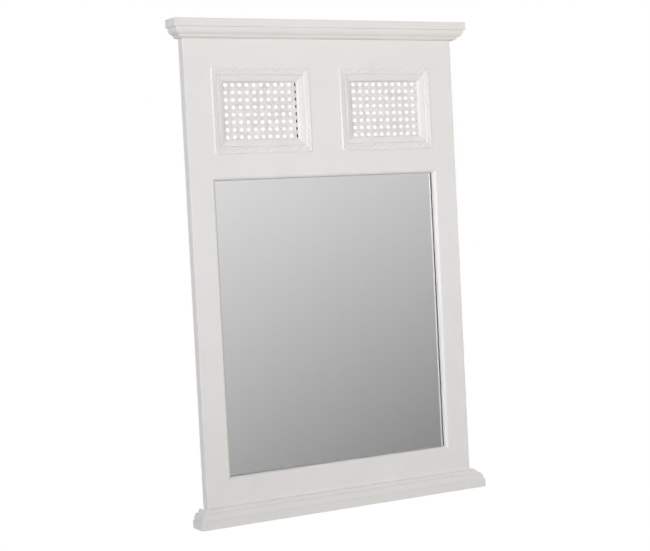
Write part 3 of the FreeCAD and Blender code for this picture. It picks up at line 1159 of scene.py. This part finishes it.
@dataclass
class Studio:
    """White room with a pale floor: light from all round, softboxes, and the grey that the mirror shows."""

    ambient: float = 0.345
    floor_drop: float = 0.75
    floor_half: float = 30.0
    floor_colour: str = "#F7EBDC"
    floor_roughness: float = 0.9
    floor_glow: float = 1.08
    floor_glow_share: float = 0.9
    softboxes: tuple[Softbox, ...] = (
        Softbox("key_softbox", (-1.33, -2.58, 0.1), (0.54, 0.0, -0.02), 2.2, 1.4, 10.5, "#FAFBFD", 63.0),
        Softbox("window_light", (-3.0, -0.95, -0.1), (0.0, 0.0, -0.1), 1.0, 1.4, 7.6, "#B4BAFF"),
        Softbox("back_fill", (0.9, 2.6, 0.5), (0.0, 0.0, -0.25), 1.4, 1.4, 6.5, "#FCFFFF", 63.0),
    )
    # The mirror shows a room that is lighter above and to the left, and darker below and to the right: the
    # grey goes from one tone to the other between two values of z + lean * x, of a ray's direction.
    grey_above: str = "#EFEFEF"
    grey_below: str = "#8D8D8D"
    grey_lean: float = -0.615
    grey_from: float = -0.5
    grey_to: float = -0.2

    def rays(self, tree: Tree) -> tuple[Socket, Node]:
        """Tell apart the rays that reach the surroundings.

        Args:
            tree: the node tree that asks.

        Returns:
            What is 1 for a ray from the camera, and what is 1 for one through glass or off a shiny surface.
        """
        path = add_node(tree, "ShaderNodeLightPath").outputs
        return path["Is Camera Ray"], add_node(tree, "ShaderNodeMath", {
            0: path["Is Glossy Ray"], 1: path["Is Transmission Ray"]}, operation="MAXIMUM")

    def world(self) -> None:
        """Light from all round, plain white behind the object, and a grey fall of light in the mirror."""
        world = bpy.data.worlds.new("studio")
        bpy.context.scene.world = world
        world.use_nodes = True
        tree = world.node_tree
        tree.nodes.clear()
        towards = add_node(tree, "ShaderNodeTexCoord").outputs["Generated"]
        way = add_node(tree, "ShaderNodeSeparateXYZ", {"Vector": towards}).outputs
        slope = add_node(tree, "ShaderNodeMath", {
            0: way["X"], 1: self.grey_lean, 2: way["Z"]}, operation="MULTIPLY_ADD")
        share = add_node(tree, "ShaderNodeMapRange", {
            "Value": slope, "From Min": self.grey_from, "From Max": self.grey_to})
        grey = add_node(tree, "ShaderNodeMix", {
            SHARE: share, FIRST: linear(self.grey_below), SECOND: linear(self.grey_above)}, data_type="RGBA")
        lights = (WHITE, self.ambient), (grey, 1.0), (WHITE, 1.0)
        around, mirrored, white = (add_node(tree, "ShaderNodeBackground", {"Color": tone, "Strength": power})
                                   for tone, power in lights)
        camera, shiny = self.rays(tree)
        both = add_node(tree, "ShaderNodeMixShader", {0: shiny, 1: around, 2: mirrored})
        seen = add_node(tree, "ShaderNodeMixShader", {0: camera, 1: both, 2: white})
        add_node(tree, "ShaderNodeOutputWorld", {"Surface": seen})

    def floor(self) -> None:
        """Pale floor well below the mirror, which hangs above it. What looks at it directly sees it white."""
        material, tree = new_material("pale_floor")
        camera, shiny = self.rays(tree)
        pale = add_node(tree, "ShaderNodeBsdfPrincipled", {
            "Base Color": linear(self.floor_colour), "Roughness": self.floor_roughness})
        glow = add_node(tree, "ShaderNodeEmission", {"Color": WHITE, "Strength": self.floor_glow})
        share = add_node(tree, "ShaderNodeMath", {0: camera, 1: self.floor_glow_share}, operation="MULTIPLY")
        lit = add_node(tree, "ShaderNodeMixShader", {0: share, 1: pale, 2: glow})
        clear = add_node(tree, "ShaderNodeBsdfTransparent")
        surface = add_node(tree, "ShaderNodeMixShader", {0: shiny, 1: lit, 2: clear})
        add_node(tree, "ShaderNodeOutputMaterial", {"Surface": surface})
        z = cad_bounds[0].z - self.floor_drop
        corners = np.array([[-1, -1, 0], [1, -1, 0], [1, 1, 0], [-1, 1, 0]]) * self.floor_half + [0, 0, z]
        mesh = bpy.data.meshes.new("floor")
        mesh.from_pydata(corners.tolist(), [], [(0, 1, 2, 3)])
        plane = add_object("floor", mesh)
        dress(plane, material)

    def build(self) -> None:
        """Set up the world, floor, lamps and camera."""
        bpy.context.scene.view_settings.view_transform = "Standard"
        self.world()
        self.floor()
        for softbox in self.softboxes:
            softbox.build()
        PhotoCamera().build()


def write_sizes() -> None:
    """Bring the view layer up to date."""
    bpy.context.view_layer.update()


def main() -> None:
    """Build every sub-assembly and the studio."""
    logging.basicConfig(level=logging.INFO, format="%(name)s %(message)s")
    upright_paint = SatinPaint("satin_white_upright", Lay.UPRIGHT).build()
    level_paint = SatinPaint("satin_white_level", Lay.LEVEL).build()
    cane = PaintedCane().build()
    FrameBoards().finish(upright_paint, level_paint)
    for board in Board:
        EdgeMoulding(board).build(level_paint)
    for side in Side:
        WindowFrame(side).build(upright_paint, level_paint)
        CaneWebbing(side).build(cane)
    MirrorPlate().build(FloatGlass().build(), SilverLayer().build())
    BackFittings().finish()
    Studio().build()
    write_sizes()


if __name__ == "__main__":
    main()
